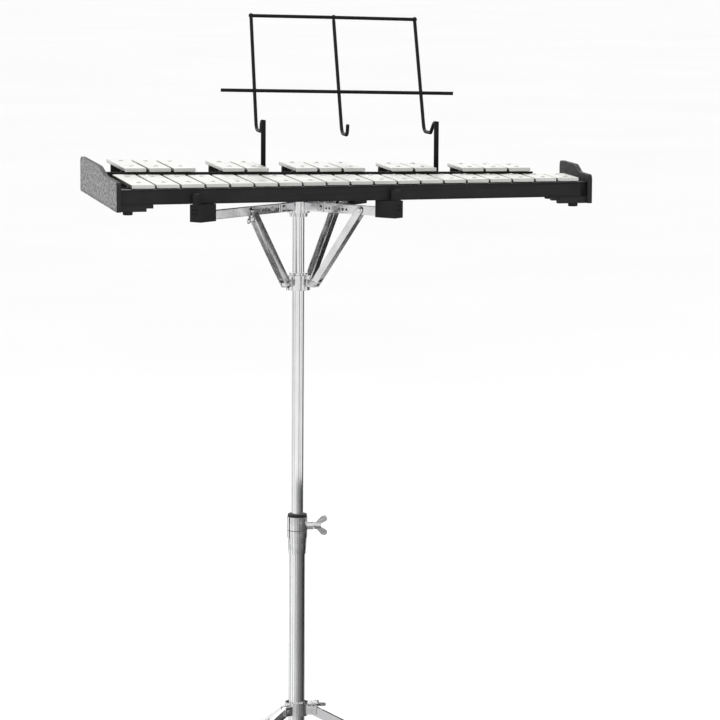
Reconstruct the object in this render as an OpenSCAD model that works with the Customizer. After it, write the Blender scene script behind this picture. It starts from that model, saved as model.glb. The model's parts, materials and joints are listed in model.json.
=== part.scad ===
// Thirty-two bar metal xylophone on a height-adjustable basket stand.
// Units mm. Z up, X along the keyboard (low notes at -X), Y away from the player.
// Origin on the floor below the middle of the overall box.

/* [Keyboard] */
// Distance between neighbouring natural bars
bar_pitch = 32; // [27:0.5:38]
// Clear gap between neighbouring natural bars
bar_gap = 3; // [2:0.1:5]
// Thickness of every bar
bar_thick = 5; // [3:0.5:8]
// Length of the lowest natural bar
bar_len = 185; // [150:1:230]
// Slope of the front ends of the bars across the keyboard
front_slope = 0.1016; // [0.06:0.001:0.13]
// Change of pitch from bar to bar, as a share of the pitch
pitch_taper = -0.0026; // [-0.004:0.0001:0]
// Height of the upper row above the lower row
row_step = 7.9; // [6.5:0.1:11]
// Width of an upper-row bar as a share of the pitch
sharp_share = 0.91; // [0.7:0.01:0.93]

/* [Frame] */
// Height of the front and rear rails
rail_h = 19.5; // [16:0.5:26]
// Thickness of the front and rear rails
rail_t = 12; // [8:0.5:16]
// Thickness of the moulded end plates
plate_t = 6; // [4:0.5:9]
// Height of the end plates over the lower row
plate_up = 4; // [2:0.5:8]
// Extra height of the rear half of the end plates
plate_step = 9; // [6:0.5:14]
// Depth of the end plates below the lower row
plate_down = 34; // [31:0.5:42]
// Thickness of the felt under the bars
felt_t = 2; // [1:0.1:3]

/* [Music rack] */
// Diameter of the rack wire
wire_d = 4.8; // [3.6:0.1:6]
// Height of the rack posts over the lower row
post_up = 63; // [40:1:90]
// Height of the sloping uprights
rack_rise = 154; // [110:1:200]
// Lean of the uprights from bottom to top
rack_lean = 60; // [30:1:90]
// Reach of the music ledge from front lip to upright
ledge_reach = 42; // [24:1:55]
// Overhang of the lower cross wire at the left upright
wire_over = 48; // [20:1:70]

/* [Stand] */
// Height of the lower bar row over the floor
deck_z = 862; // [800:1:930]
// Outer diameter of the upper tube
mast_d = 15.8; // [13:0.1:19]
// Outer diameter of the lower tube
tube_d = 21.4; // [20:0.1:26]
// Wall of the lower tube
tube_wall = 1.4; // [1:0.1:1.5]
// Distance of the pole behind the middle of the bar fronts
pole_y = 110; // [90:1:130]
// Distance of the pole from the middle of the keyboard
pole_x = -59.5; // [-80:0.5:-30]
// Radial running clearance of sliding and turning fits
fit = 0.07; // [0.03:0.01:0.1]
// Radius from the pole to the leg feet
foot_r = 300; // [260:1:340]
// Height of the leg collar over the floor
collar_z = 141; // [120:1:160]

/* [Hidden] */
$fn = 48;
air = 0.35;
plates = [-9.5 * bar_pitch - 20 + plate_t, 9.5 * bar_pitch + 9.5];
xl = plates[0];
xr = plates[1];
NAT = [0, 2, 4, 6, 7, 9, 11, 12, 14, 16, 18, 19, 21, 23, 24, 26, 28, 30, 31];
SHARP = [[[1, 1], [2, 3], [3, 5]], [[5, 8], [6, 10]], [[8, 13], [9, 15], [10, 17]],
    [[12, 20], [13, 22]], [[15, 25], [16, 27], [17, 29]]];
LEGS = [112, 232, 352];
ARMS = [227.6, 138, 42];

// Gap position, bar length and the straight lines the rails follow
function gx(i) = bar_pitch * ((i - 9.5) + pitch_taper * ((i - 9.5) * (i - 9.5) - 90.25) / 2);
function len_of(s) = bar_len * pow(2, -s / 24);
function front_y(x) = front_slope * x;
function line(a, b, x) = a[1] + (b[1] - a[1]) * (x - a[0]) / (b[0] - a[0]);
sharp_l = [gx(0.5), front_y(gx(0.5)) + bar_len + 2];
sharp_r = [gx(16.5), front_y(gx(16.5)) + len_of(28) + 2];
function sharp_y(x) = line(sharp_l, sharp_r, x);
function nat_node(k, x) = line([gx(0.5), front_y(gx(0.5)) + k * bar_len],
    [gx(18.5), front_y(gx(18.5)) + k * len_of(31)], x);
function sharp_node(k, x) = line([gx(1), sharp_y(gx(1)) + k * len_of(1)],
    [gx(17), sharp_y(gx(17)) + k * len_of(29)], x);
function front_face(x) = front_y(x) - 5;
function rear_face(x) = sharp_node(0.776, x) + rail_t / 2;
K1 = 0.224;
K2 = 0.776;
rail_top = -bar_thick - 0.5;
rail_bot = rail_top - rail_h;
nat_under = -bar_thick;
sharp_under = row_step - bar_thick;

plate_front = [front_face(xl - plate_t) - 4, front_face(xr) - 4];
plate_rear = [rear_face(xl) + 5, rear_face(xr) + 14];

leg_dir = [for (a = LEGS) [sin(a), cos(a)]];
foot_rad = 12;
y_min = pole_y + foot_r * cos(LEGS[1]) - foot_rad;
y_max = pole_y + foot_r * cos(LEGS[2]) + foot_rad;
ox = -(xl - plate_t + xr + plate_t) / 2;
oy = -(y_min + y_max) / 2;

grip_w = 18;
lip_w = 9;
grip_out = 9.5;
grip_in = 22.5;
grip_h = 22.5;
lip_h = 12;
// Reach of each arm so that its grip lip just clears the rail it holds
function reach(i) =
    let (d = [sin(ARMS[i]), cos(ARMS[i])], w = lip_w / 2)
    i == 2 ? rear_reach(d, [cos(ARMS[i]), -sin(ARMS[i])] * w) :
    front_reach(d, [-cos(ARMS[i]), sin(ARMS[i])] * (i == 0 ? -w : w));
function front_reach(d, c) =
    let (s = front_slope, f0 = front_face(0) - 1.6)
    (pole_y + abs(c[1]) - f0 - s * (pole_x + (d[0] < 0 ? -abs(c[0]) : abs(c[0]))))
    / (s * d[0] - d[1]);
function rear_reach(d, c) =
    let (s = (rear_face(100) - rear_face(0)) / 100, f0 = rear_face(0) + 0.5)
    (f0 + s * (pole_x + abs(c[0])) - pole_y + abs(c[1])) / (d[1] - s * d[0]);

hub_z = deck_z - 40.5;
arm_pr = 38;
strut_ar = 103;
slider_z = deck_z - 142.5;
strut_pr = 28;
clamp_top = deck_z - 458.5;
clamp_h = 50;
bore_r = tube_d / 2 - tube_wall;
leg_pr = 22;
leg_pz = collar_z - 1;
base_z = 30;
brace_pr = 19;
brace_lr = 120;
leg_len = foot_r - leg_pr;
foot_h = 22;
foot_top = 14;
leg_fall = leg_pz - foot_top;
function leg_z(r) = leg_pz - leg_fall * (r - leg_pr) / leg_len;

module deck() {
    translate([ox, oy, deck_z]) children();
}
module pole() {
    translate([ox + pole_x, oy + pole_y, 0]) children();
}
// Turns local +X to the azimuth measured from +Y towards +X
module azim(a) {
    rotate([0, 0, 90 - a]) children();
}
// Flat band between two x planes whose sides follow a straight line
module band(x0, x1, y0, y1, t0, t1, z0, z1) {
    translate([0, 0, z0])
        linear_extrude(z1 - z0)
            polygon([[x0, y0 + t0], [x1, y1 + t0], [x1, y1 + t1], [x0, y0 + t1]]);
}
// Rod between two points
module rod(a, b, r) {
    v = b - a;
    h = norm(v);
    translate(a)
        rotate([0, acos(v[2] / h), atan2(v[1], v[0])])
            cylinder(r = r, h = h);
}
module tube(r1, r0, h) {
    difference() {
        cylinder(r = r1, h = h);
        translate([0, 0, -1]) cylinder(r = r0, h = h + 2);
    }
}

// One bar with softened long edges and two fixing holes
module bar(xc, y0, l, w, top, s1, s2) {
    e = 0.7;
    difference() {
        translate([xc, y0 + l, top - bar_thick])
            rotate([90, 0, 0])
                linear_extrude(l)
                    polygon([[-w / 2, e], [-w / 2, bar_thick - e], [-w / 2 + e, bar_thick],
                        [w / 2 - e, bar_thick], [w / 2, bar_thick - e], [w / 2, e],
                        [w / 2 - e, 0], [-w / 2 + e, 0]]);
        for (y = [s1, s2])
            translate([xc, y, top - bar_thick - 1])
                cylinder(r = 2.5, h = bar_thick + 2, $fn = 12);
    }
}
function nat_x(i) = (gx(i) + gx(i + 1)) / 2;
module natural(i) {
    w = gx(i + 1) - gx(i) - bar_gap;
    x = nat_x(i);
    color([0.82, 0.82, 0.84])
        deck() bar(x, front_y(x), len_of(NAT[i]), w, 0, nat_node(K1, x), nat_node(K2, x));
}
module sharps(g) {
    color([0.82, 0.82, 0.84])
        deck()
            for (b = SHARP[g]) {
                x = gx(b[0]);
                bar(x, sharp_y(x), len_of(b[1]), bar_pitch * sharp_share, row_step,
                    sharp_node(K1, x), sharp_node(K2, x));
            }
}

// Outline of an end plate seen from the side: [y, z]
function smooth(t) = t * t * (3 - 2 * t);
module plate_outline(yf, yr, inset) {
    lo = plate_up;
    hi = plate_up + plate_step;
    d = yr - yf;
    s0 = 0.30 * d + yf;
    s1 = 0.52 * d + yf;
    polygon(concat(
        [[yf + inset, -plate_down + inset], [yf + inset, lo - 6 - inset / 2],
            [yf + 1.2 + inset, lo - 3 - inset / 2], [yf + 3.2 + inset, lo - 0.9 - inset],
            [yf + 6 + inset, lo - inset]],
        [for (k = [0:10]) [s0 + (s1 - s0) * k / 10, lo + plate_step * smooth(k / 10) - inset]],
        [[yr - 6 - inset, hi - inset], [yr - 3 - inset, hi - 1 - inset],
            [yr - 1 - inset, hi - 3 - inset], [yr - inset, hi - 6 - inset],
            [yr - inset, -plate_down + inset]]));
}
// End plate with a sunk outer panel and a shoe under each rail
module end_plate(x, side, yf, yr) {
    rim = 0.6;
    s = side;
    difference() {
        translate([x + (s > 0 ? 0 : -plate_t), 0, 0])
            rotate([90, 0, 90])
                linear_extrude(plate_t) plate_outline(yf, yr, 0);
        translate([x + (s > 0 ? plate_t - rim : -plate_t - 1), 0, 0])
            rotate([90, 0, 90])
                linear_extrude(rim + 1) plate_outline(yf, yr, 2);
    }
    shoe(x, s, 0);
    shoe(x, s, 1);
}
module shoe(x, s, rear) {
    l = s > 0 ? 40 : 34;
    x1 = x - s * l;
    x2 = x - s * (l + 9);
    a = min(x, x1);
    b = max(x, x1);
    y0 = rear ? rear_face(a) - rail_t : front_face(a);
    y1 = rear ? rear_face(b) - rail_t : front_face(b);
    band(a, b, y0, y1, 0.6, rail_t - 0.6, -plate_down, rail_bot);
    c = min(x2, x1 + s);
    d = max(x2, x1 + s);
    y2 = rear ? rear_face(c) - rail_t : front_face(c);
    y3 = rear ? rear_face(d) - rail_t : front_face(d);
    band(c, d, y2, y3, 1.2, rail_t - 1.2, -plate_down + 4, rail_bot);
}
module left_end_plate() {
    color([0.16, 0.16, 0.17])
        deck() end_plate(xl, -1, plate_front[0], plate_rear[0]);
}
module right_end_plate() {
    color([0.16, 0.16, 0.17])
        deck() end_plate(xr, 1, plate_front[1], plate_rear[1]);
}
module front_rail() {
    color([0.13, 0.13, 0.14])
        deck() {
            difference() {
                band(xl, xr, front_face(xl), front_face(xr), 0, rail_t, rail_bot, rail_top);
                band(xl - 1, xr + 1, front_face(xl - 1), front_face(xr + 1), 3, rail_t - 3,
                    rail_bot - 1, rail_top - 3);
                band(xr - 9, xr + 1, front_face(xr - 9), front_face(xr + 1), -1, 2.2,
                    rail_bot - 1, rail_top - 2);
            }
            band(xl, xr - 9, front_face(xl), front_face(xr - 9), -1, 0, rail_bot, rail_bot + 1.6);
            band(xl, xr - 9, front_face(xl), front_face(xr - 9), -1, 0, rail_top - 1.6, rail_top);
        }
}
post_gap = [7, 14];
post_shift = [-6, -1];
function post_x(k) = gx(post_gap[k]) + post_shift[k];
function post_y(k) = rear_face(post_x(k)) - rail_t / 2;
post_r = wire_d / 2;
module rear_rail() {
    color([0.13, 0.13, 0.14])
        deck()
            difference() {
                band(xl, xr, rear_face(xl), rear_face(xr), -rail_t, 0, rail_bot, rail_top - 2);
                for (k = [0, 1])
                    translate([post_x(k), post_y(k), rail_bot - 1])
                        cylinder(r = post_r + fit, h = rail_h + 4);
            }
}

// Low strips that carry the felts, with raised blocks below the upper row
module strip(x0, x1, k, upper, z0, z1, w) {
    ya = upper ? sharp_node(k, x0) : nat_node(k, x0);
    yb = upper ? sharp_node(k, x1) : nat_node(k, x1);
    band(x0, x1, ya, yb, -w / 2, w / 2, z0, z1);
}
function group_x0(g) = gx(SHARP[g][0][0]) - bar_pitch * sharp_share / 2 + 1;
function group_x1(g) = gx(SHARP[g][len(SHARP[g]) - 1][0]) + bar_pitch * sharp_share / 2 - 1;
module bar_supports() {
    nat_top = nat_under - felt_t;
    sharp_top = sharp_under - felt_t;
    mid_w = 4;
    color([0.09, 0.09, 0.1])
        deck() {
            strip(xl, xr, K1, false, -24, nat_top, 8);
            strip(xl, xr, K2, false, -24, nat_top, 8);
            strip(xl, xr, K1, true, -24, rail_top - 2, 8);
            band(xl, gx(17.6), sharp_y(xl) + 4, sharp_y(gx(17.6)) + 4, 0, mid_w, -24,
                sharp_under - 0.6);
            band(gx(17.6) - 1, xr, sharp_y(gx(17.6)) + 4, sharp_y(xr) + 4, 0, mid_w, -24, rail_top - 2);
            for (g = [0:4]) {
                strip(group_x0(g), group_x1(g), K1, true, rail_top - 2, sharp_top, 8);
                strip(group_x0(g), group_x1(g), K2, true, rail_top - 2, sharp_top, 8);
            }
            band(xl, xl + 7, front_face(xl) + rail_t, front_face(xl) + rail_t, 0.9,
                rear_face(xl + 7) - front_face(xl) - 2 * rail_t - 0.4, -24, -9);
            band(xr - 7, xr, front_face(xr) + rail_t, front_face(xr) + rail_t, 0.8,
                rear_face(xr) - front_face(xr) - 2 * rail_t, -24, -9);
        }
}
module felt_strips() {
    color([0.35, 0.05, 0.06])
        deck() {
            strip(gx(0) + 2, gx(19) - 2, K1, false, nat_under - felt_t, nat_under, 7);
            strip(gx(0) + 2, gx(19) - 2, K2, false, nat_under - felt_t, nat_under, 7);
            for (g = [0:4]) {
                strip(group_x0(g), group_x1(g), K1, true, sharp_under - felt_t, sharp_under, 7);
                strip(group_x0(g), group_x1(g), K2, true, sharp_under - felt_t, sharp_under, 7);
            }
        }
}
module screw(x, y, top) {
    translate([x, y, top - bar_thick]) cylinder(r = 2, h = bar_thick, $fn = 8);
    translate([x, y, top]) cylinder(r1 = 3.4, r2 = 2.6, h = 1.4, $fn = 12);
}
module bar_screws() {
    color([0.6, 0.6, 0.62])
        deck() {
            for (i = [0:18])
                for (k = [K1, K2])
                    screw(nat_x(i), nat_node(k, nat_x(i)), 0);
            for (g = [0:4])
                for (b = SHARP[g])
                    for (k = [K1, K2])
                        screw(gx(b[0]), sharp_node(k, gx(b[0])), row_step);
        }
}
module keyboard_feet() {
    color([0.05, 0.05, 0.05])
        deck()
            for (e = [[xl + 10, 0], [xr - 18, 0], [xl + 10, 1], [xr - 18, 1]]) {
                y = e[1] == 0 ? front_face(e[0]) + rail_t / 2 : rear_face(e[0]) - rail_t / 2;
                translate([e[0], y, -plate_down - 4.2])
                    tube(6.4, 1.6, 4.2);
            }
}

// Wire rack: two posts, three sloping uprights with ledge hooks, two cross wires
hook_drop = 14;
post_back = 14;
module hook(x, y, zt) {
    r = post_r;
    yb = y + post_back;
    p = [[x, yb, zt], [x, yb + 3, zt - hook_drop + 6], [x, yb + 9, zt - hook_drop],
        [x, yb + ledge_reach - 8, zt - hook_drop], [x, yb + ledge_reach, zt - hook_drop + 5]];
    for (k = [0:3])
        rod(p[k], p[k + 1], r);
    for (k = [0:4])
        translate(p[k]) sphere(r = r + 0.1);
    rod(p[4], [x, yb + ledge_reach + rack_lean, zt - hook_drop + rack_rise], r);
}
function rack_y(x) = line([post_x(0), post_y(0)], [post_x(1), post_y(1)], x) + post_back + ledge_reach;
module music_rack() {
    r = post_r;
    z0 = rail_bot + 2;
    f = 0.30;
    xc = (post_x(0) + post_x(1)) / 2;
    zlow = post_up - hook_drop + 5 + f * (rack_rise - 5);
    ztop = post_up - hook_drop + rack_rise;
    color([0.05, 0.05, 0.05])
        deck() {
            for (k = [0, 1]) {
                x = post_x(k);
                y = post_y(k);
                translate([x, y, z0]) cylinder(r = r, h = rail_top - 1 - z0);
                translate([x - 3.3, y - 1.5, rail_top - 1.3])
                    cube([6.6, 3, post_up - rail_top + 1.3 + r]);
                translate([x - 3.3, y - 1.5, post_up - r])
                    cube([6.6, post_back + 3, 2 * r]);
                hook(x, y, post_up);
            }
            hook(xc, line([post_x(0), post_y(0)], [post_x(1), post_y(1)], xc), post_up - 4);
            a = [post_x(0) - wire_over, 0, 0];
            b = [post_x(1) + wire_over - 5, 0, 0];
            yo = f * rack_lean;
            rod([a[0], rack_y(a[0]) + yo, zlow], [b[0], rack_y(b[0]) + yo, zlow], r);
            rod([post_x(0), rack_y(post_x(0)) + rack_lean, ztop],
                [post_x(1), rack_y(post_x(1)) + rack_lean, ztop], r);
            for (x = [post_x(0), xc, post_x(1)])
                translate([x, rack_y(x) + rack_lean, ztop - (x == xc ? 1.5 : 0)]) sphere(r = r + 1.1);
        }
}

// Stand: fixed lower part
module lower_tube() {
    color([0.75, 0.75, 0.78])
        pole() {
            translate([0, 0, 16]) tube(tube_d / 2, bore_r, clamp_top - clamp_h / 2 - 16);
            translate([0, 0, base_z - 10]) tube(tube_d / 2 + 3, tube_d / 2 - 0.5, 20);
            for (a = LEGS) azim(a) ear(brace_pr, base_z, tube_d / 2 + 2, 5, 3, brace_side, 4);
        }
}
// Two cheeks and a cross pin that carry a strip of width w at side offset s
module ear(pr, pz, r0, h, w, s, pin) {
    c = w / 2 + air;
    for (m = [-1, 1])
        translate([r0 - 1, s + (m > 0 ? c : -c - 2.2), pz - h])
            cube([pr - r0 + 1 + h, 2.2, 2 * h]);
    translate([pr, s + c + 2.7, pz]) rotate([90, 0, 0]) cylinder(d = pin, h = 2 * c + 5.4);
}
brace_side = 8;
module height_clamp() {
    r = tube_d / 2;
    color([0.7, 0.7, 0.73])
        pole()
            difference() {
                union() {
                    translate([0, 0, clamp_top - 28]) cylinder(r = r + 2.8, h = 28);
                    translate([0, 0, clamp_top - clamp_h]) cylinder(r1 = r + 0.9, r2 = r + 2.2, h = 24);
                    azim(100)
                        translate([r, 0, clamp_top - 12])
                            rotate([0, 90, 0]) cylinder(r = 5.5, h = 11);
                }
                translate([0, 0, clamp_top - clamp_h - 1]) cylinder(r = r, h = clamp_h / 2 + 1);
                translate([0, 0, clamp_top - clamp_h / 2 - 1]) cylinder(r = bore_r, h = clamp_h);
                azim(100)
                    translate([r - 4, 0, clamp_top - 12])
                        rotate([0, 90, 0]) cylinder(r = 2.5 + fit, h = 30);
                azim(240)
                    translate([r - 4, -0.6, clamp_top - 29])
                        cube([9, 1.2, 30]);
            }
}
module clamp_bush() {
    color([0.05, 0.05, 0.05])
        pole()
            difference() {
                union() {
                    translate([0, 0, clamp_top - 5]) cylinder(r = bore_r, h = 6);
                    translate([0, 0, clamp_top]) cylinder(r = tube_d / 2 + 2.2, h = 4);
                }
                translate([0, 0, clamp_top - 8]) cylinder(r = mast_d / 2 + fit, h = 20);
            }
}
// Wing screw along local +X, shaft tip at the origin
module wing(shaft, hub_h) {
    rotate([0, 90, 0]) {
        cylinder(r = 2.5, h = shaft + 1);
        translate([0, 0, shaft]) cylinder(r1 = 5.2, r2 = 4.2, h = hub_h);
    }
    for (m = [-1, 1])
        translate([shaft + 3, 0, 0])
            rotate([90, 0, 0])
                translate([0, 0, -1.6])
                    linear_extrude(3.2)
                        polygon([[-1, m * 2.5], [0, m * 5], [7, m * 12.5], [12, m * 13.2],
                            [14.5, m * 10.5], [14, m * 7], [9, m * 4], [6, m * 2.5]]);
}
clamp_wing_r = tube_d / 2 - 1.0;
module clamp_wing() {
    color([0.75, 0.75, 0.78])
        pole() azim(100)
            translate([clamp_wing_r, 0, clamp_top - 12]) wing(13, 9);
}
module upper_tube() {
    color([0.8, 0.8, 0.82])
        pole()
            translate([0, 0, clamp_top - 165])
                tube(mast_d / 2, mast_d / 2 - 1.4, hub_z + 6 - (clamp_top - 165));
}
// Basket: hub turns on the tube, arms and struts fold from it
module basket_hub() {
    r = mast_d / 2;
    color([0.6, 0.6, 0.63])
        pole()
            difference() {
                union() {
                    translate([0, 0, hub_z - 9]) cylinder(r = r + 7, h = 18);
                    translate([0, 0, hub_z + 9]) cylinder(r = r + 3.5, h = 2.5);
                    translate([0, 0, hub_z - 14]) cylinder(r = r + 4, h = 5);
                    for (i = [0:2]) azim(ARMS[i]) ear(arm_pr, hub_z, r + 6, 5.5, arm_w, 0, 5);
                }
                translate([0, 0, hub_z - 30]) cylinder(r = r + fit, h = 37);
            }
}
module basket_collar() {
    r = mast_d / 2;
    color([0.7, 0.7, 0.73])
        pole()
            difference() {
                union() {
                    translate([0, 0, slider_z - 10]) cylinder(r = r + 8, h = 20);
                    translate([0, 0, slider_z + 10]) cylinder(r = r + 4.5, h = 3);
                    for (i = [0:2])
                        azim(ARMS[i]) blade(strut_pr, slider_z, r + 6, 4.6, arm_w + 0.2, 4);
                }
                translate([0, 0, slider_z - 30]) cylinder(r = r + fit, h = 60);
            }
}
// One rounded blade with a cross pin that sticks out on both sides
module blade(pr, pz, r0, h, w, pin) {
    translate([r0 - 1, -w / 2, pz - h]) cube([pr - r0 + 1, w, 2 * h]);
    translate([pr, w / 2, pz]) rotate([90, 0, 0]) cylinder(r = h, h = w);
    translate([pr, w / 2 + 3, pz]) rotate([90, 0, 0]) cylinder(d = pin, h = w + 6);
}
arm_h = 12;
arm_w = 6;
module arm(i) {
    l = reach(i) - arm_pr;
    color([0.72, 0.72, 0.75])
        pole() azim(ARMS[i])
            difference() {
                union() {
                    translate([arm_pr, arm_w / 2, hub_z])
                        rotate([90, 0, 0]) cylinder(d = arm_h, h = arm_w);
                    translate([arm_pr, -arm_w / 2, hub_z - arm_h / 2]) cube([l - 4, arm_w, arm_h]);
                }
                translate([arm_pr, 5, hub_z]) rotate([90, 0, 0]) cylinder(d = 5 + 2 * fit, h = 10);
            }
}
module arm_grip(i) {
    r = reach(i);
    top = deck_z + rail_bot - air;
    color([0.05, 0.05, 0.05])
        pole() azim(ARMS[i])
            difference() {
                union() {
                    translate([r - grip_in, -grip_w / 2, top - grip_h])
                        cube([grip_in + grip_out, grip_w, grip_h]);
                    translate([r, -lip_w / 2, top - 1]) cube([grip_out, lip_w, lip_h + 1]);
                    translate([r, lip_w / 2, top + lip_h])
                        rotate([90, 0, 0])
                            linear_extrude(lip_w)
                                polygon([[0, 0], [0.8, 1.4], [3, 2.4], [grip_out - 3, 2.4],
                                    [grip_out - 0.8, 1.4], [grip_out, 0]]);
                }
                translate([r - 40, -arm_w / 2, hub_z - arm_h / 2]) cube([36, arm_w, arm_h]);
                translate([r + grip_out - 1, -5, top - 13]) cube([3, 10, 2]);
                translate([r + grip_out - 1, -5, top - 8]) cube([3, 10, 2]);
            }
}
strut_len = norm([strut_ar - strut_pr, hub_z - slider_z]);
strut_ang = atan2(hub_z - slider_z, strut_ar - strut_pr);
strut_in = arm_w / 2 + 0.5;
strut_t = 1.8;
module strut(i) {
    color([0.72, 0.72, 0.75])
        pole() azim(ARMS[i])
            translate([strut_pr, 0, slider_z])
                rotate([0, -strut_ang, 0])
                    difference() {
                        union() {
                            for (m = [0, 1]) {
                                y1 = m == 0 ? strut_in + strut_t : -strut_in;
                                translate([0, y1, 0]) rotate([90, 0, 0]) cylinder(r = 5, h = strut_t);
                                translate([0, y1 - strut_t, -5]) cube([strut_len, strut_t, 10]);
                                translate([strut_len, y1, 0])
                                    rotate([90, 0, 0]) cylinder(r = 5, h = strut_t);
                            }
                            translate([strut_len, -strut_in - strut_t + 0.5, 0])
                                rotate([90, 0, 0]) cylinder(r = 3.2, h = 1.7);
                            translate([strut_len, strut_in + strut_t + 1.2, 0])
                                rotate([90, 0, 0]) cylinder(r = 3.2, h = 1.7);
                            translate([13, -strut_in - 0.5, -5])
                                cube([strut_len - 28, 2 * strut_in + 1, strut_t]);
                        }
                        translate([0, 10, 0]) rotate([90, 0, 0]) cylinder(d = 4 + 2 * fit, h = 20);
                    }
}

// Tripod
module leg_collar() {
    r = tube_d / 2;
    color([0.7, 0.7, 0.73])
        pole()
            difference() {
                union() {
                    translate([0, 0, collar_z - 9]) cylinder(r = r + 4.5, h = 18);
                    for (a = LEGS) azim(a) ear(leg_pr, leg_pz, r + 3.5, 6, 6, 0, 5);
                    azim(70)
                        translate([r + 2, 0, collar_z + 3])
                            rotate([0, 90, 0]) cylinder(r = 5.2, h = 9);
                }
                translate([0, 0, collar_z - 30]) cylinder(r = r + fit, h = 60);
                azim(70)
                    translate([r - 4, 0, collar_z + 3])
                        rotate([0, 90, 0]) cylinder(r = 2.5 + fit, h = 30);
            }
}
module leg_wing() {
    color([0.75, 0.75, 0.78])
        pole() azim(70)
            translate([tube_d / 2 + 0.6, 0, collar_z + 3])
                rotate([90, 0, 0]) wing(11, 9);
}
leg_slope = atan2(leg_fall, leg_len);
leg_real = norm([leg_len, leg_fall]);
module leg(i) {
    color([0.75, 0.75, 0.78])
        pole() azim(LEGS[i])
            translate([leg_pr, 0, leg_pz])
                rotate([0, leg_slope, 0])
                    difference() {
                        union() {
                            translate([0, 3, 0]) rotate([90, 0, 0]) cylinder(r = 6, h = 6);
                            translate([0, -3, -6]) cube([leg_real - 4, 6, 12]);
                        }
                        translate([0, 5, 0]) rotate([90, 0, 0]) cylinder(d = 5 + 2 * fit, h = 10);
                        translate([14, -1.8, -7]) cube([leg_real, 3.6, 9]);
                    }
}
module leg_foot(i) {
    color([0.05, 0.05, 0.05])
        pole() azim(LEGS[i])
            difference() {
                union() {
                    translate([foot_r, 0, 0]) cylinder(r = foot_rad, h = foot_h - 4);
                    translate([foot_r, 0, foot_h - 4]) cylinder(r1 = foot_rad, r2 = foot_rad - 3, h = 4);
                }
                translate([leg_pr, 0, leg_pz])
                    rotate([0, leg_slope, 0])
                        translate([0, -3, -6]) cube([leg_real - 4, 6, 12]);
            }
}
function leg_pt() = [brace_lr, leg_z(brace_lr)];
brace_vec = leg_pt() - [brace_pr, base_z];
module brace(i) {
    l = norm(brace_vec);
    color([0.75, 0.75, 0.78])
        pole() azim(LEGS[i])
            translate([brace_pr, brace_side, base_z])
                rotate([0, -atan2(brace_vec[1], brace_vec[0]), 0])
                    difference() {
                        union() {
                            translate([0, 1.5, 0]) rotate([90, 0, 0]) cylinder(r = 5, h = 3);
                            translate([0, -1.5, -5]) cube([l, 3, 10]);
                            translate([l, 1.5, 0]) rotate([90, 0, 0]) cylinder(r = 5, h = 3);
                            translate([l, 3.3, 0]) rotate([90, 0, 0]) cylinder(r = 3, h = 2);
                            translate([l, 0, 0]) rotate([90, 0, 0]) cylinder(r = 3.5, h = 4.6);
                        }
                        translate([0, 5, 0]) rotate([90, 0, 0]) cylinder(d = 4 + 2 * fit, h = 10);
                    }
}

natural(0);  // bar_01
natural(1);  // bar_02
natural(2);  // bar_03
natural(3);  // bar_04
natural(4);  // bar_05
natural(5);  // bar_06
natural(6);  // bar_07
natural(7);  // bar_08
natural(8);  // bar_09
natural(9);  // bar_10
natural(10);  // bar_11
natural(11);  // bar_12
natural(12);  // bar_13
natural(13);  // bar_14
natural(14);  // bar_15
natural(15);  // bar_16
natural(16);  // bar_17
natural(17);  // bar_18
natural(18);  // bar_19
sharps(0);  // sharps_1
sharps(1);  // sharps_2
sharps(2);  // sharps_3
sharps(3);  // sharps_4
sharps(4);  // sharps_5
left_end_plate();
right_end_plate();
front_rail();
rear_rail();
bar_supports();
felt_strips();
bar_screws();
keyboard_feet();
music_rack();
lower_tube();
height_clamp();
clamp_bush();
clamp_wing();
upper_tube();
basket_hub();
basket_collar();
leg_collar();
leg_wing();
arm(0);  // arm_left
arm_grip(0);  // grip_left
strut(0);  // strut_left
arm(1);  // arm_right
arm_grip(1);  // grip_right
strut(1);  // strut_right
arm(2);  // arm_rear
arm_grip(2);  // grip_rear
strut(2);  // strut_rear
leg(0);  // leg_1
leg_foot(0);  // leg_foot_1
brace(0);  // brace_1
leg(1);  // leg_2
leg_foot(1);  // leg_foot_2
brace(1);  // brace_2
leg(2);  // leg_3
leg_foot(2);  // leg_foot_3
brace(2);  // brace_3
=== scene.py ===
import bpy
import bmesh
import json
import math
from mathutils import Matrix, Vector


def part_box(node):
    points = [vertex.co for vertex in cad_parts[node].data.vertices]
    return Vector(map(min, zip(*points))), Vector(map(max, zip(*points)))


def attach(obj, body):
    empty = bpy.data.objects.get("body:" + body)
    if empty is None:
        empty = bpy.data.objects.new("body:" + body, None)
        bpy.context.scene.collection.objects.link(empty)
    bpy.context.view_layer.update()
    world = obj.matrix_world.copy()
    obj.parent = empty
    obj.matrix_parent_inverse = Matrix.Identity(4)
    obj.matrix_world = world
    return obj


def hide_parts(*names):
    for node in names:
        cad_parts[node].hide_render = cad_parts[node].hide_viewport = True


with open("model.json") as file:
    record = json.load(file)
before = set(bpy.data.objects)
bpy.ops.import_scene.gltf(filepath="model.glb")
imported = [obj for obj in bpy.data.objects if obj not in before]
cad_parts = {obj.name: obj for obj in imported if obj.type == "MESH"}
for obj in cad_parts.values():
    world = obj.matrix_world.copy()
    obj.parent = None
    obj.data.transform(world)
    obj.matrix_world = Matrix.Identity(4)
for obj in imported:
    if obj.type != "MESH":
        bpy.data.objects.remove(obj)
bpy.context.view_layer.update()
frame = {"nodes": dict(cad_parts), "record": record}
NODES = frame["nodes"]
RECORD = frame["record"]
BODY = {n: b for b, ns in RECORD["behaviour"]["bodies"].items() for n in ns}
SLOT = {s["node"]: s["material_slot"] for s in RECORD["subparts"]}
MM = 0.001
AZIMUTH = {"left": 227.6, "right": 138.0, "rear": 42.0}  # arm bearings, from +Y toward +X


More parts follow.
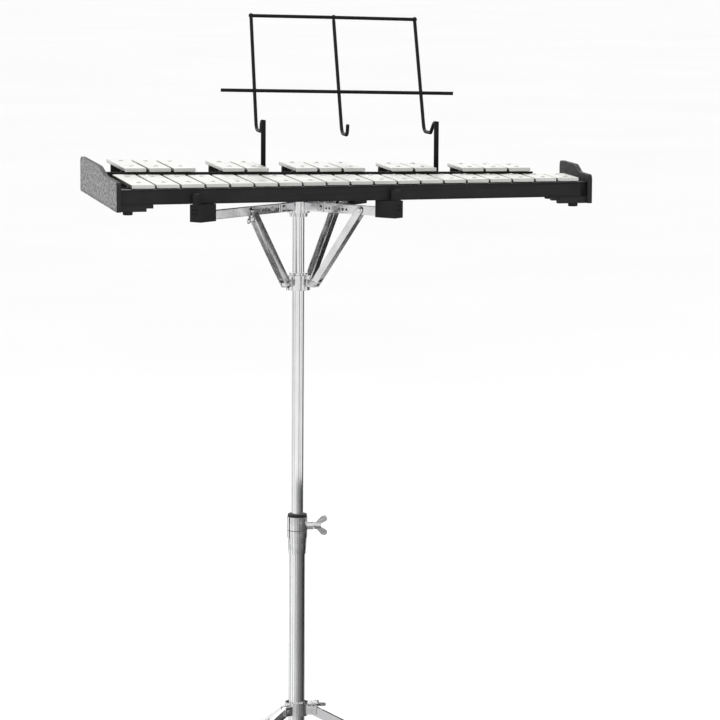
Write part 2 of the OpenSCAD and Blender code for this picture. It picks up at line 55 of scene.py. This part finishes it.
# ---------------------------------------------------------------- materials
class Nodes:
    """Small helper around one material's node tree."""

    def __init__(self, name):
        self.m = bpy.data.materials.new(name)
        self.m.use_nodes = True
        self.t = self.m.node_tree
        self.b = self.t.nodes["Principled BSDF"]
        self.c = self.t.nodes.new("ShaderNodeTexCoord")

    def new(self, kind, **inputs):
        n = self.t.nodes.new(kind)
        for k, v in inputs.items():
            n.inputs[k.replace("_", " ")].default_value = v
        return n

    def link(self, a, b):
        self.t.links.new(a, b)

    def mapped(self, scale):
        m = self.new("ShaderNodeMapping")
        m.inputs["Scale"].default_value = scale
        self.link(self.c.outputs["Object"], m.inputs["Vector"])
        return m.outputs["Vector"]

    def noise(self, scale, detail=3.0, stretch=None, rough=0.55):
        n = self.new("ShaderNodeTexNoise", Scale=scale, Detail=detail, Roughness=rough)
        src = self.mapped(stretch) if stretch else self.c.outputs["Object"]
        self.link(src, n.inputs["Vector"])
        return n.outputs["Fac"]

    def span(self, fac, a, b, lo=0.0, hi=1.0):
        r = self.new("ShaderNodeMapRange")
        r.inputs["From Min"].default_value = lo
        r.inputs["From Max"].default_value = hi
        r.inputs["To Min"].default_value = a
        r.inputs["To Max"].default_value = b
        self.link(fac, r.inputs["Value"])
        return r.outputs["Result"]

    def colours(self, fac, a, b, lo=0.35, hi=0.7):
        r = self.t.nodes.new("ShaderNodeValToRGB")
        r.color_ramp.elements[0].color = (*a, 1)
        r.color_ramp.elements[1].color = (*b, 1)
        r.color_ramp.elements[0].position = lo
        r.color_ramp.elements[1].position = hi
        self.link(fac, r.inputs["Fac"])
        return r.outputs["Color"]

    def bump(self, height, distance, strength=0.5, under=None):
        n = self.new("ShaderNodeBump", Strength=strength, Distance=distance)
        self.link(height, n.inputs["Height"])
        if under is not None:
            self.link(under, n.inputs["Normal"])
        return n.outputs["Normal"]


def metal(name, a, b, rough, grain, stretch=None, depth=0.00002, cloud=28.0, strength=0.35):
    n = Nodes(name)
    n.b.inputs["Metallic"].default_value = 1.0
    smudge = n.noise(cloud, 4.0)
    n.link(n.colours(smudge, a, b), n.b.inputs["Base Color"])
    fine = n.noise(grain, 3.0, stretch)
    mix = n.new("ShaderNodeMix")
    mix.inputs["Factor"].default_value = 0.5
    n.link(smudge, mix.inputs["A"])
    n.link(fine, mix.inputs["B"])
    n.link(n.span(mix.outputs["Result"], rough[0], rough[1], 0.3, 0.7), n.b.inputs["Roughness"])
    n.link(n.bump(fine, depth, strength), n.b.inputs["Normal"])
    return n.m


def plastic(name, a, b, rough, cell, depth, strength=0.5, metallic=0.0, cloud=40.0, coat=0.0, shine=0.25):
    n = Nodes(name)
    n.b.inputs["Metallic"].default_value = metallic
    n.b.inputs["Coat Weight"].default_value = coat
    n.b.inputs["Specular IOR Level"].default_value = shine
    n.b.inputs["Coat Roughness"].default_value = 0.25
    wear = n.noise(cloud, 4.0)
    n.link(n.colours(wear, a, b), n.b.inputs["Base Color"])
    n.link(n.span(wear, rough[0], rough[1], 0.3, 0.7), n.b.inputs["Roughness"])
    v = n.new("ShaderNodeTexVoronoi", Scale=cell)
    n.link(n.c.outputs["Object"], v.inputs["Vector"])
    base = n.bump(v.outputs["Distance"], depth, strength)
    fine = n.noise(cell * 2.3, 2.0)
    n.link(n.bump(fine, depth * 0.4, strength * 0.7, base), n.b.inputs["Normal"])
    return n.m


def cloth(name, a, b):
    n = Nodes(name)
    fuzz = n.noise(900.0, 5.0, None, 0.7)
    n.link(n.colours(fuzz, a, b), n.b.inputs["Base Color"])
    n.b.inputs["Roughness"].default_value = 0.95
    n.b.inputs["Sheen Weight"].default_value = 0.3
    n.link(n.bump(fuzz, 0.0004, 0.8), n.b.inputs["Normal"])
    return n.m


def grey(v, tint=0.0):
    return (v, v, v * (1 + tint))


def grained(name, a, b, rough, cell, side):
    """Leather grain; the outside face on the given side gets pale grain tops as a painted highlight, the
    other faces stay black.
    """
    n = Nodes(name)
    xyz = n.new("ShaderNodeSeparateXYZ")
    n.link(n.c.outputs["Normal"], xyz.inputs["Vector"])
    # painted highlight: faces whose object normal points to the given side are made pale
    lit_face_highlight = n.span(xyz.outputs["X"], 0.0, 1.0, side * 0.55, side * 0.75)
    grain = n.noise(cell, 4.0, (1.0, 0.42, 1.0), 0.6)
    v = n.new("ShaderNodeTexVoronoi", Scale=cell * 1.6)
    n.link(n.c.outputs["Object"], v.inputs["Vector"])
    mix = n.new("ShaderNodeMix")
    mix.inputs["Factor"].default_value = 0.35
    n.link(grain, mix.inputs["A"])
    n.link(v.outputs["Distance"], mix.inputs["B"])
    pale = n.colours(grain, a, b, 0.36, 0.66)
    black = (0.010, 0.010, 0.011, 1)
    face = n.t.nodes.new("ShaderNodeMix")
    face.data_type = "RGBA"
    sockets = [i for i in face.inputs if i.type == "RGBA"]
    sockets[0].default_value = black
    n.link(lit_face_highlight, face.inputs["Factor"])
    n.link(pale, sockets[1])
    n.link([o for o in face.outputs if o.type == "RGBA"][0], n.b.inputs["Base Color"])
    n.link(n.span(grain, rough[0], rough[1], 0.3, 0.7), n.b.inputs["Roughness"])
    n.b.inputs["Specular IOR Level"].default_value = 0.3
    n.link(n.bump(mix.outputs["Result"], 0.0006, 0.6), n.b.inputs["Normal"])
    return n.m


# dark creases, pale grain tops (painted highlight for the lit outside face), roughness span and cell scale
# of the end plates
GRAIN = (grey(0.026, 0.05), grey(0.38, 0.02), (0.45, 0.65), 290.0)
MATS = {
    "bar_metal": metal("bar aluminium", (0.56, 0.565, 0.54), (0.66, 0.665, 0.64), (0.30, 0.42), 14.0,
                       (60.0, 1.2, 60.0), 0.00003, 22.0, 0.25),
    "plate_plastic": grained("grained plastic", *GRAIN, -1),
    "rail_paint": plastic("rail coating", grey(0.009, 0.08), grey(0.015, 0.06), (0.36, 0.48),
                          2400.0, 0.00006, 0.30, 0.0, 30.0, 0.04, 0.18),
    "support_plastic": plastic("support plastic", grey(0.008), grey(0.014), (0.55, 0.7), 1500.0, 0.0001,
                               0.5, 0.0, 40.0, 0.0, 0.15),
    "felt": cloth("felt", grey(0.012), grey(0.04)),
    "screw_steel": metal("screw steel", grey(0.55), grey(0.68), (0.20, 0.32), 900.0, None, 0.00001),
    "rack_wire": plastic("rack paint", grey(0.005), grey(0.009), (0.38, 0.50), 1800.0, 0.00004, 0.3,
                         0.0, 60.0, 0.0, 0.12),
    "black_rubber": plastic("rubber", grey(0.008), grey(0.016), (0.62, 0.8), 1300.0, 0.00012, 0.5,
                            0.0, 40.0, 0.0, 0.2),
    "bush_nylon": plastic("nylon", grey(0.010), grey(0.016), (0.4, 0.5), 2000.0, 0.00003, 0.3),
    "cast_steel": metal("plated casting", grey(0.62, 0.01), grey(0.80, 0.01), (0.10, 0.24), 160.0, None,
                        0.00035, 70.0, 0.5),
    "arm_steel": metal("plated strip", grey(0.66, 0.01), grey(0.80, 0.01), (0.08, 0.18), 60.0,
                       (20.0, 20.0, 20.0), 0.00005, 45.0, 0.35),
    "chrome_tube": metal("chrome tube", grey(0.76, 0.012), grey(0.84, 0.012), (0.05, 0.12), 35.0,
                         (60.0, 60.0, 2.0), 0.000015, 30.0, 0.2),
}
# right plate's copy, with its painted highlight on the +X face instead of the -X face
PLATE_RIGHT = grained("grained plastic right", *GRAIN, 1)
# painted shade: dark finish laid over the screw recesses, punched marks and clamp seam
RECESS_SHADE = plastic("painted recess shade", grey(0.06), grey(0.09), (0.5, 0.65), 1600.0, 0.00005, 0.4)
WASHER = metal("washer steel", grey(0.46), grey(0.56), (0.35, 0.5), 900.0, None, 0.00002)


def finish_mesh(o, mat, angle=35):
    o.data.materials.clear()
    o.data.materials.append(mat)
    for p in o.data.polygons:
        p.use_smooth = True
    o.data.set_sharp_from_angle(angle=math.radians(angle))


def object_from(name, bm, mat, body, node=None, angle=35):
    me = bpy.data.meshes.new(name)
    bm.normal_update()
    bm.to_mesh(me)
    bm.free()
    o = bpy.data.objects.new(name, me)
    bpy.context.scene.collection.objects.link(o)
    finish_mesh(o, mat, angle)
    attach(o, body)
    if node:
        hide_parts(node)
    return o


# ------------------------------------------------- CAD nodes with eased edges
def soften(node, width, segments=2, limit=30, mat=None):
    """A copy of a CAD node with its edges rounded; it stands for the node."""
    bm = bmesh.new()
    bm.from_mesh(NODES[node].data)
    bmesh.ops.remove_doubles(bm, verts=bm.verts, dist=2e-6)
    bmesh.ops.dissolve_limit(bm, angle_limit=math.radians(0.6), verts=bm.verts, edges=bm.edges)
    o = object_from(node + "_look", bm, mat or MATS[SLOT[node]], BODY[node], node)
    b = o.modifiers.new("edge", "BEVEL")
    b.width = width * MM
    b.segments = segments
    b.limit_method = "ANGLE"
    b.angle_limit = math.radians(limit)
    b.use_clamp_overlap = True
    b.harden_normals = True
    return o


# ------------------------------------------------------------- mesh builders
def sweep(bm, path, r, sides=16, cap=True):
    """Round wire along a list of points."""
    pts = [Vector(p) for p in path]
    rings = []
    up = None
    for i, p in enumerate(pts):
        a = (p - pts[i - 1]).normalized() if i else (pts[1] - p).normalized()
        b = (pts[i + 1] - p).normalized() if i + 1 < len(pts) else a
        t = (a + b).normalized()
        if up is None:
            up = t.orthogonal().normalized()
        up = (up - t * up.dot(t)).normalized()
        side = t.cross(up)
        k = 1.0 / max(0.5, t.dot(a))
        ring = []
        for j in range(sides):
            w = 2 * math.pi * j / sides
            ring.append(bm.verts.new(p + (up * math.cos(w) + side * math.sin(w)) * r * (1 + (k - 1) * 0.5)))
        rings.append(ring)
    for q, s in zip(rings, rings[1:]):
        for j in range(sides):
            bm.faces.new([q[j], q[(j + 1) % sides], s[(j + 1) % sides], s[j]])
    if cap:
        for ring, sign in ((rings[0], -1), (rings[-1], 1)):
            bm.faces.new(ring if sign > 0 else ring[::-1])


def rounded(points, radius, steps=6):
    """A polyline with its corners turned into arcs."""
    pts = [Vector(p) for p in points]
    out = [pts[0]]
    for i in range(1, len(pts) - 1):
        a, b, c = pts[i - 1], pts[i], pts[i + 1]
        u, v = (a - b).normalized(), (c - b).normalized()
        d = min(radius, (a - b).length * 0.49, (c - b).length * 0.49)
        s, e = b + u * d, b + v * d
        for k in range(steps + 1):
            t = k / steps
            out.append(s * (1 - t) ** 2 + b * 2 * t * (1 - t) + e * t * t)
    out.append(pts[-1])
    return out


def lathe(bm, origin, axis, profile, sides=28):
    """Solid of revolution: profile is [(radius, height)] along axis from origin."""
    z = Vector(axis).normalized()
    x = z.orthogonal().normalized()
    y = z.cross(x)
    rings = []
    for r, h in profile:
        if r < 1e-7:
            rings.append([bm.verts.new(Vector(origin) + z * h)])
            continue
        rings.append([bm.verts.new(Vector(origin) + z * h + (x * math.cos(w) + y * math.sin(w)) * r)
                      for w in [2 * math.pi * j / sides for j in range(sides)]])
    for q, s in zip(rings, rings[1:]):
        for j in range(sides):
            k = (j + 1) % sides
            if len(q) == 1 and len(s) == 1:
                continue
            if len(q) == 1:
                bm.faces.new([q[0], s[k], s[j]])
            elif len(s) == 1:
                bm.faces.new([q[j], q[k], s[0]])
            else:
                bm.faces.new([q[j], q[k], s[k], s[j]])


def centre_of(node):
    a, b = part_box(node)
    return (a + b) / 2


# -------------------------------------------------------------- bars
BARS = ["bar_%02d" % i for i in range(1, 20)]
SHARPS = ["sharps_%d" % i for i in range(1, 6)]
for n in BARS + SHARPS:
    soften(n, 0.55, 2, 25)


def islands(node):
    """Bounding boxes of the separate solids of a CAD node."""
    bm = bmesh.new()
    bm.from_mesh(NODES[node].data)
    bmesh.ops.remove_doubles(bm, verts=bm.verts, dist=2e-6)
    seen, out = set(), []
    for v in bm.verts:
        if v in seen:
            continue
        stack, group = [v], []
        seen.add(v)
        while stack:
            w = stack.pop()
            group.append(w.co.copy())
            for e in w.link_edges:
                x = e.other_vert(w)
                if x not in seen:
                    seen.add(x)
                    stack.append(x)
        out.append((Vector([min(c[i] for c in group) for i in range(3)]),
                    Vector([max(c[i] for c in group) for i in range(3)])))
    bm.free()
    return out


# Domed screws with a cross recess painted dark as shade, each on a thin dark washer
bm = bmesh.new()
bw = bmesh.new()
bs = bmesh.new()
heads = {}
for a, b in islands("bar_screws"):
    c = (a + b) / 2
    key = (round(c.x, 4), round(c.y, 4))
    top = max(b.z, heads.get(key, -1))
    heads[key] = top
for k, ((x, y), top) in enumerate(sorted(heads.items())):
    base = top - 1.4 * MM
    lathe(bw, (x, y, base), (0, 0, 1),
          [(0, 0), (3.35 * MM, 0), (3.35 * MM, 0.35 * MM), (3.0 * MM, 0.5 * MM), (0, 0.5 * MM)], 24)
    lathe(bm, (x, y, base + 0.45 * MM), (0, 0, 1),
          [(0, 0), (2.65 * MM, 0), (2.7 * MM, 0.25 * MM), (2.35 * MM, 0.6 * MM), (1.5 * MM, 0.85 * MM),
           (0.9 * MM, 0.9 * MM), (0, 0.55 * MM)], 24)
    turn = 0.7 * k
    for q in (0, math.pi / 2):
        m = Matrix.Translation((x, y, base + 1.28 * MM)) @ Matrix.Rotation(turn + q, 4, "Z")
        slot_size = Matrix.Diagonal((2.6 * MM, 0.5 * MM, 0.16 * MM, 1))
        bmesh.ops.create_cube(bs, size=1.0, matrix=m @ slot_size)
object_from("screw_heads", bm, MATS["screw_steel"], "keyboard", "bar_screws")
object_from("screw_washers", bw, WASHER, "keyboard", None)
object_from("screw_recess", bs, RECESS_SHADE, "keyboard", None)

# -------------------------------------------------------------- frame
soften("left_end_plate", 1.1, 3)
soften("right_end_plate", 1.1, 3, 30, PLATE_RIGHT)
for n in ("front_rail", "rear_rail"):
    soften(n, 0.7, 2)
soften("bar_supports", 0.5, 1)
soften("keyboard_feet", 0.9, 2)
NODES["felt_strips"].data.materials.clear()
NODES["felt_strips"].data.materials.append(MATS["felt"])

# -------------------------------------------------------------- stand
for n in ("basket_hub", "basket_collar", "height_clamp", "leg_collar"):
    soften(n, 0.6, 2)
for n in ("clamp_wing", "leg_wing"):
    soften(n, 1.1, 3, 20)
for s in ("left", "right", "rear"):
    soften("arm_" + s, 0.8, 2)
    soften("strut_" + s, 0.8, 2)
    soften("grip_" + s, 1.4, 3)
for i in (1, 2, 3):
    soften("leg_%d" % i, 0.9, 2)
    soften("leg_foot_%d" % i, 1.6, 3)
    soften("brace_%d" % i, 0.8, 2)
for n in ("lower_tube", "upper_tube", "clamp_bush"):
    soften(n, 0.4, 2)

# -------------------------------------------------------------- music rack
rack = bmesh.new()
a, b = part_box("music_rack")
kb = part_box("rear_rail")


def rack_shape():
    """Wire radius and the two pin places for the bent-wire rack, from the CAD rack's own lowest points."""
    me = NODES["music_rack"].data
    r = 2.4 * MM
    xs = [v.co for v in me.vertices]
    low = a.z
    pins = [c for c in xs if c.z < low + 0.5 * MM]
    xl = [c for c in pins if c.x < (a.x + b.x) / 2]
    xr = [c for c in pins if c.x >= (a.x + b.x) / 2]
    out = []
    for g in (xl, xr):
        out.append(Vector((sum((min(c.x for c in g), max(c.x for c in g))) / 2,
                           sum((min(c.y for c in g), max(c.y for c in g))) / 2, low)))
    return r, out


wire_r, (pin_l, pin_r) = rack_shape()
deck = kb[1].z + 7.5 * MM
POST_UP, DROP, BACK, REACH, RISE, LEAN = 63 * MM, 14 * MM, 14 * MM, 42 * MM, 154 * MM, 60 * MM
f_low = 0.30


def rack_xy(t):
    return pin_l.x + (pin_r.x - pin_l.x) * t, pin_l.y + (pin_r.y - pin_l.y) * t


# sideways set of each upright at the hook and at the top, and how far its top is lowered
SET = {0: (0.0, 3.0 * MM, 0.0), 0.5: (0.0, 0.0, 1.6 * MM), 1: (-5.0 * MM, -5.8 * MM, 3.6 * MM)}


def hook_path(t, zt, post):
    x, y = rack_xy(t)
    at_hook, at_top, cut = SET[t]
    yb = y + BACK
    half, h = x + at_hook * 0.6, x + at_hook
    p = [(x, yb, zt), (half, yb + 3 * MM, zt - DROP + 3 * MM), (half, yb + 7 * MM, zt - DROP - 0.4 * MM),
         (h, yb + REACH - 8 * MM, zt - DROP - 0.4 * MM), (h, yb + REACH, zt - DROP + 5 * MM),
         (x + at_top, yb + REACH + LEAN, zt - DROP + RISE - cut)]
    if post:
        p = [(x, y - 1.0 * MM, zt)] + p
    return rounded(p, 5 * MM)


hook_top = deck + POST_UP
for t, zt, post in ((0, hook_top, True), (1, hook_top, True), (0.5, hook_top - 4 * MM, False)):
    sweep(rack, hook_path(t, zt, post), wire_r)
z_low = deck + POST_UP - DROP + 5 * MM + f_low * (RISE - 5 * MM)
z_top = deck + POST_UP - DROP + RISE


def rack_back(x):
    t = (x - pin_l.x) / (pin_r.x - pin_l.x)
    return rack_xy(t)[1] + BACK + REACH


x0, x1 = pin_l.x - 44.5 * MM, pin_r.x + 38 * MM
yo = f_low * LEAN
low_l, low_r = z_low + 3.0 * MM, z_low + 1.0 * MM
sweep(rack, [(x0, rack_back(x0) + yo, low_l), (x1, rack_back(x1) + yo, low_r)], wire_r)


def top_end(t):
    x, _ = rack_xy(t)
    return Vector((x + SET[t][1], rack_back(x) + LEAN, z_top - SET[t][2]))


sweep(rack, [top_end(0), top_end(0.5), top_end(1)], wire_r)
for t in (0, 0.5, 1):
    c = top_end(t)
    ball = wire_r + 1.1 * MM
    prof = [(math.sin(math.pi * k / 12) * ball, -math.cos(math.pi * k / 12) * ball) for k in range(13)]
    prof[0] = (0, prof[0][1])
    prof[-1] = (0, prof[-1][1])
    lathe(rack, c, (0, 0, 1), prof, 20)
# small weld beads where the lower cross wire meets the uprights
for t in (0, 0.5, 1):
    x, _ = rack_xy(t)
    for s in (-1, 1):
        shift = SET[t][0] * (1 - f_low) + SET[t][1] * f_low
        p = Vector((x + shift + s * 1.9 * MM, rack_back(x) + yo, low_l + (low_r - low_l) * t))
        lathe(rack, p - Vector((0, 0, 1.9 * MM)), (0, 0, 1),
              [(0, 0), (1.5 * MM, 0.6 * MM), (2.0 * MM, 1.9 * MM), (1.5 * MM, 3.2 * MM), (0, 3.8 * MM)], 12)


def strap(bm, x, y, z0, z1):
    """Flat strap post with rounded edges, from a rounded outline."""
    w, d, e = 3.3 * MM, 1.5 * MM, 0.9 * MM
    ring = []
    for cx, cy, a0 in ((w - e, d - e, 0), (-w + e, d - e, 90), (-w + e, -d + e, 180), (w - e, -d + e, 270)):
        for k in range(4):
            g = math.radians(a0 + 30 * k)
            ring.append((cx + e * math.cos(g), cy + e * math.sin(g)))
    rows = [[bm.verts.new((x + px * s, y + py * s, z)) for px, py in ring]
            for z, s in ((z0, 0.92), (z0 + 0.4 * MM, 1.0), (z1 - 0.5 * MM, 1.0), (z1, 0.9))]
    n = len(ring)
    for q, s in zip(rows, rows[1:]):
        for j in range(n):
            bm.faces.new([q[j], q[(j + 1) % n], s[(j + 1) % n], s[j]])
    bm.faces.new(rows[0][::-1])
    bm.faces.new(rows[-1])


for t, p in ((0, pin_l), (1, pin_r)):
    lathe(rack, p, (0, 0, 1),
          [(0, 0), (wire_r - 0.4 * MM, 0), (wire_r, 0.5 * MM), (wire_r, 18 * MM), (0, 18 * MM)], 20)
    strap(rack, p.x, p.y, deck - 6.6 * MM, deck + POST_UP + wire_r * 0.95)
object_from("rack_wire_look", rack, MATS["rack_wire"], "rack", "music_rack", 40)


# -------------------------------------------------------------- small hardware
def radial(az, r, z, side=0.0):
    px, py = pole.x, pole.y
    s, c = math.sin(math.radians(az)), math.cos(math.radians(az))
    return Vector((px + r * s - side * c, py + r * c + side * s, z))


def tangent(az):
    return Vector((-math.cos(math.radians(az)), math.sin(math.radians(az)), 0))


pole = centre_of("upper_tube")
hub = centre_of("arm_left").z
for node, az in AZIMUTH.items():
    tang = tangent(az)
    bm = bmesh.new()
    lathe(bm, radial(az, 60 * MM, hub) - tang * 4.1 * MM, tang,
          [(0, 0), (3.0 * MM, 0), (3.3 * MM, 0.6 * MM), (3.3 * MM, 7.6 * MM), (3.0 * MM, 8.2 * MM),
           (0, 8.2 * MM)], 20)
    object_from("arm_rivet_" + node, bm, MATS["screw_steel"], "arm_" + node, None)

# punched marks along the inner part of each arm, painted dark as the shade inside them
for node, az in AZIMUTH.items():
    tang = tangent(az)
    bm = bmesh.new()
    for r, size, sides in ((48, 2.5, 3), (53, 1.6, 18), (69, 2.7, 3), (75, 1.9, 18), (81, 2.7, 3)):
        for s in (-1, 1):
            lathe(bm, radial(az, r * MM, hub - 0.4 * MM) + tang * (s * 2.96 * MM), tang * s,
                  [(0, 0), (size * MM, 0), (size * MM, 0.1 * MM), (0, 0.12 * MM)], sides)
    object_from("arm_marks_" + node, bm, RECESS_SHADE, "arm_" + node, None, 30)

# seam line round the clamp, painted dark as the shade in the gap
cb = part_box("height_clamp")
bm = bmesh.new()
ring_r = 13.5 * MM
lathe(bm, (pole.x, pole.y, cb[1].z - 18.6 * MM), (0, 0, 1),
      [(ring_r - 1 * MM, 0), (ring_r + 0.06 * MM, 0), (ring_r + 0.06 * MM, 0.9 * MM),
       (ring_r - 1 * MM, 0.9 * MM)], 64)
object_from("clamp_seam", bm, RECESS_SHADE, "stand_base", None, 30)

# wing screw under the left arm
bm = bmesh.new()
p = radial(AZIMUTH["left"], 101 * MM, hub - 5.5 * MM)
left_az = math.radians(AZIMUTH["left"])
out = Vector((math.sin(left_az), math.cos(left_az), 0))
lathe(bm, p, (0, 0, -1),
      [(0, 0), (2.2 * MM, 0), (2.2 * MM, 3 * MM), (3.6 * MM, 3.4 * MM), (3.6 * MM, 7.5 * MM),
       (2.6 * MM, 8.6 * MM), (0, 8.6 * MM)], 20)
for s in (-1, 1):
    m = (Matrix.Translation(p + out * (s * 6.2 * MM) - Vector((0, 0, 7.2 * MM)))
         @ Matrix.Rotation(math.radians(90 - AZIMUTH["left"]), 4, "Z")
         @ Matrix.Rotation(math.radians(s * 28), 4, "Y"))
    bmesh.ops.create_uvsphere(bm, u_segments=16, v_segments=10, radius=1.0,
                              matrix=m @ Matrix.Diagonal((5.2 * MM, 1.2 * MM, 3.6 * MM, 1)))
object_from("arm_lock_left", bm, MATS["cast_steel"], "arm_left", None, 40)

SLIDER_Z = hub - 102 * MM
# hexagon nuts and bolt ends on the hub and collar pivots
for body, nodes_, zz, r0, spread, side in (("basket", "basket_hub", hub, 38 * MM, 8.4 * MM, 0.0),
                                            ("basket_slider", "basket_collar",
                                             SLIDER_Z, 28 * MM, 7.6 * MM, 0.0)):
    bm = bmesh.new()
    for az in AZIMUTH.values():
        tang = tangent(az)
        for s in (-1, 1):
            p = radial(az, r0, zz) + tang * side + tang * (s * (spread - 2.6 * MM))
            lathe(bm, p, tang * s, [(0, 0), (4.0 * MM, 0), (4.0 * MM, 1.6 * MM), (3.4 * MM, 2.1 * MM),
                                    (0, 2.1 * MM)], 6 if s > 0 else 24)
    object_from(nodes_ + "_nuts", bm, MATS["screw_steel"], body, None, 30)

# -------------------------------------------------------------- floor, light, camera
def stage_plane(name, w, h, matrix, mat):
    corners = ((-w, -h, 0), (w, -h, 0), (w, h, 0), (-w, h, 0))
    return stage_poly(name, [matrix @ Vector(c) for c in corners], mat)


def stage_poly(name, corners, mat):
    bm = bmesh.new()
    bm.faces.new([bm.verts.new(c) for c in corners])
    me = bpy.data.meshes.new(name)
    bm.to_mesh(me)
    bm.free()
    o = bpy.data.objects.new(name, me)
    bpy.context.scene.collection.objects.link(o)
    o.data.materials.append(mat)
    return o


def flat(name, v, rough=0.9):
    n = Nodes(name)
    soft = n.noise(0.7, 2.0)
    n.link(n.colours(soft, grey(v), grey(min(1.0, v * 1.02))), n.b.inputs["Base Color"])
    n.b.inputs["Roughness"].default_value = rough
    n.b.inputs["Specular IOR Level"].default_value = 0.1
    return n.m


stage_plane("floor", 40, 40, Matrix.Translation((0, 10, 0)), flat("floor paint", 0.93))
def hide(o):
    """Seen in reflections only."""
    for k in ("camera", "shadow", "diffuse", "transmission"):
        setattr(o, "visible_" + k, False)


POLE_X, POLE_Y = -0.057, -0.056
VIEW = math.radians(10.8)  # the camera's bearing from the pole, from -Y toward -X
# turn to the right of the camera, distance, half angle, top, grey
CARDS = ((25, 1.15, 4.5, 0.78, 0.02), (118, 1.10, 17, 0.75, 0.02), (180, 1.20, 32, 0.72, 0.02),
         (-108, 1.15, 5, 0.75, 0.04), (-62, 1.20, 2.5, 0.78, 0.05), (62, 1.25, 2.5, 0.78, 0.05),
         (38, 1.0, 12, 0.29, 0.20), (62, 1.0, 13, 0.29, 0.13), (88, 1.0, 14, 0.29, 0.05),
         (8, 1.0, 16, 0.29, 0.36), (-24, 1.0, 13, 0.29, 0.55))
for k, (turn, far, half, top, shade) in enumerate(CARDS):
    g = math.radians(turn) - VIEW
    m = (Matrix.Translation((POLE_X + far * math.sin(g), POLE_Y - far * math.cos(g), top / 2 + 0.002))
         @ Matrix.Rotation(g, 4, "Z") @ Matrix.Rotation(math.radians(90), 4, "X"))
    paint = flat("card %d" % k, shade)
    w = math.tan(math.radians(half))
    hide(stage_plane("card_%d" % k, far * w, top / 2, m, paint))
    # the same card goes on along the floor toward the pole
    m = Matrix.Translation((POLE_X, POLE_Y, 0.002 + 0.0004 * k)) @ Matrix.Rotation(g, 4, "Z")
    wedge = ((0.06 * w, -0.06, 0), (far * w, -far, 0), (-far * w, -far, 0), (-0.06 * w, -0.06, 0))
    hide(stage_poly("mat_%d" % k, [m @ Vector(c) for c in wedge], paint))

world = bpy.data.worlds.new("studio")
bpy.context.scene.world = world
world.use_nodes = True
bg = world.node_tree.nodes["Background"]
bg.inputs["Color"].default_value = (1.0, 1.0, 1.0, 1)
bg.inputs["Strength"].default_value = 1.04


def area(name, pos, aim, size, power, shape=1.0):
    lamp = bpy.data.lights.new(name, "AREA")
    lamp.shape = "RECTANGLE"
    lamp.size = size
    lamp.size_y = size * shape
    lamp.energy = power
    o = bpy.data.objects.new(name, lamp)
    o.location = pos
    d = Vector(aim) - Vector(pos)
    o.rotation_euler = d.to_track_quat("-Z", "Y").to_euler()
    bpy.context.scene.collection.objects.link(o)
    return o


area("key", (-2.4, -1.8, 3.2), (0, 0, 0.8), 1.6, 26)
area("back", (0.3, 2.6, 2.8), (0, 0, 0.9), 2.4, 16)

YAW, PITCH, ROLL, FOCAL_PX = math.radians(11.74), math.radians(7.218), math.radians(0.36), 3600.0
CAM_AT = Vector((-0.94625, -4.7407, 1.2194))
forward = Vector((math.sin(YAW) * math.cos(PITCH), math.cos(YAW) * math.cos(PITCH), -math.sin(PITCH)))
right = Vector((math.cos(YAW), -math.sin(YAW), 0))
up = right.cross(forward)
right2 = right * math.cos(ROLL) + up * math.sin(ROLL)
up2 = up * math.cos(ROLL) - right * math.sin(ROLL)
cam = bpy.data.objects.new("camera", bpy.data.cameras.new("camera"))
cam.data.sensor_width = 36.0
cam.data.lens = 36.0 * FOCAL_PX / 720.0
cam.data.clip_end = 100
m = Matrix((right2, up2, -forward)).transposed().to_4x4()
m.translation = CAM_AT
cam.matrix_world = m
bpy.context.scene.collection.objects.link(cam)
bpy.context.scene.camera = cam
bpy.context.scene.view_settings.view_transform = "Standard"
